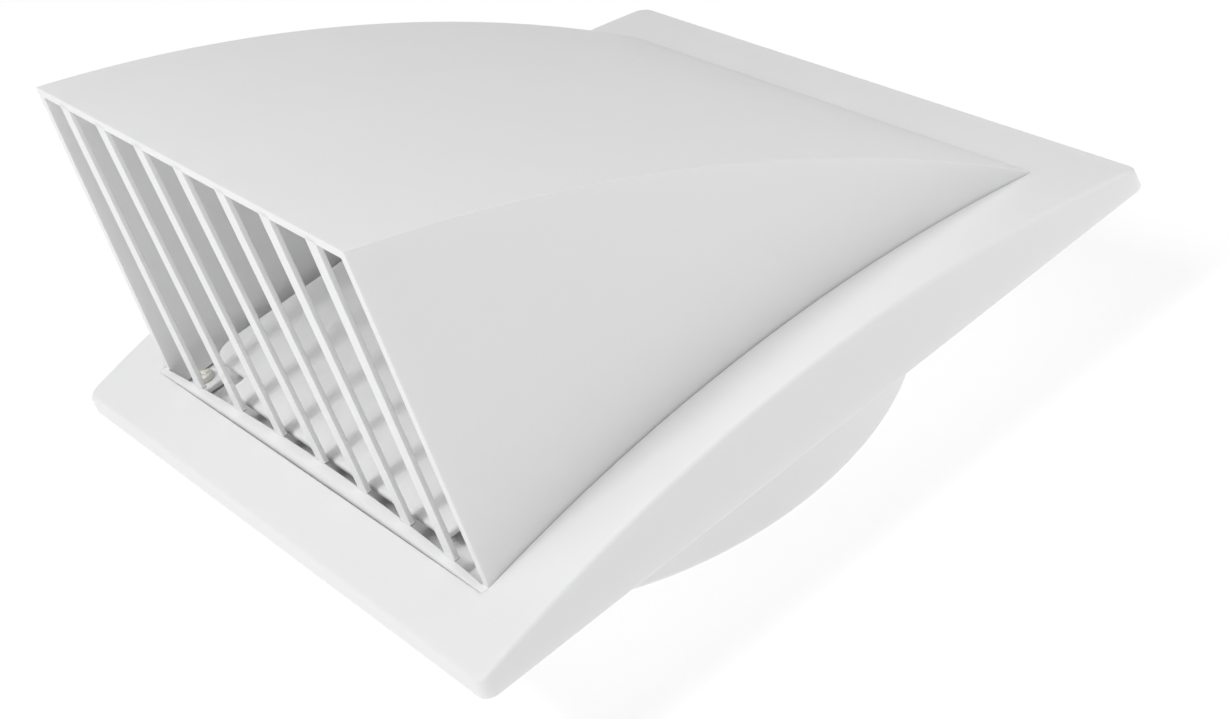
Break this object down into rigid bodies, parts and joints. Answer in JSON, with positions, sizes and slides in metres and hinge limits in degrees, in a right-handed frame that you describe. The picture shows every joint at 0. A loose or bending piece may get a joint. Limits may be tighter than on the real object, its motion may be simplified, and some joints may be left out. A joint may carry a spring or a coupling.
{
  "type": "cowled duct vent",
  "caption": "Cowled vent outlet: barred hood with a swinging back-draught flap, arched trim frame and round duct spigot.",
  "frame": {"origin": "centre of the duct spigot's lower rim, which is the bottom centre of the whole part", "axes": "+Z out of the wall along the duct axis, -Y towards the hood's mouth (down when hung on a wall), +X along the mouth"},
  "size_m": [0.196, 0.189, 0.1204],
  "materials": {
    "white_plastic": "satin moulded white",
    "flap_plastic": "satin moulded white",
    "rod_steel": "drawn stainless rod",
    "screw_zinc": "bright zinc plating",
    "seal_foam": "white closed-cell foam",
    "gasket_foam": "closed-cell foam"
  },
  "bodies": {
    "root": {"back_plate": "white_plastic", "duct_spigot": "white_plastic", "wall_gasket": "gasket_foam", "trim_frame": "white_plastic", "hood_shell": "white_plastic", "grille_rail": "white_plastic", "grille_bar_1": "white_plastic", "grille_bar_2": "white_plastic", "grille_bar_3": "white_plastic", "grille_bar_4": "white_plastic", "grille_bar_5": "white_plastic", "grille_bar_6": "white_plastic", "grille_bar_7": "white_plastic", "cover_screw_left": "screw_zinc", "cover_screw_right": "screw_zinc", "hinge_bracket_left": "white_plastic", "hinge_bracket_right": "white_plastic"},
    "flap": {"flap_plate": "flap_plastic", "flap_hinge_rod": "rod_steel", "flap_seal": "seal_foam"}
  },
  "joints": [
    {"name": "flap_hinge", "type": "hinge", "parent": "root", "child": "flap", "pos_m": [0, 0.069, 0.0362], "axis": [-1, 0, 0], "range_deg": [0, 29]}
  ]
}
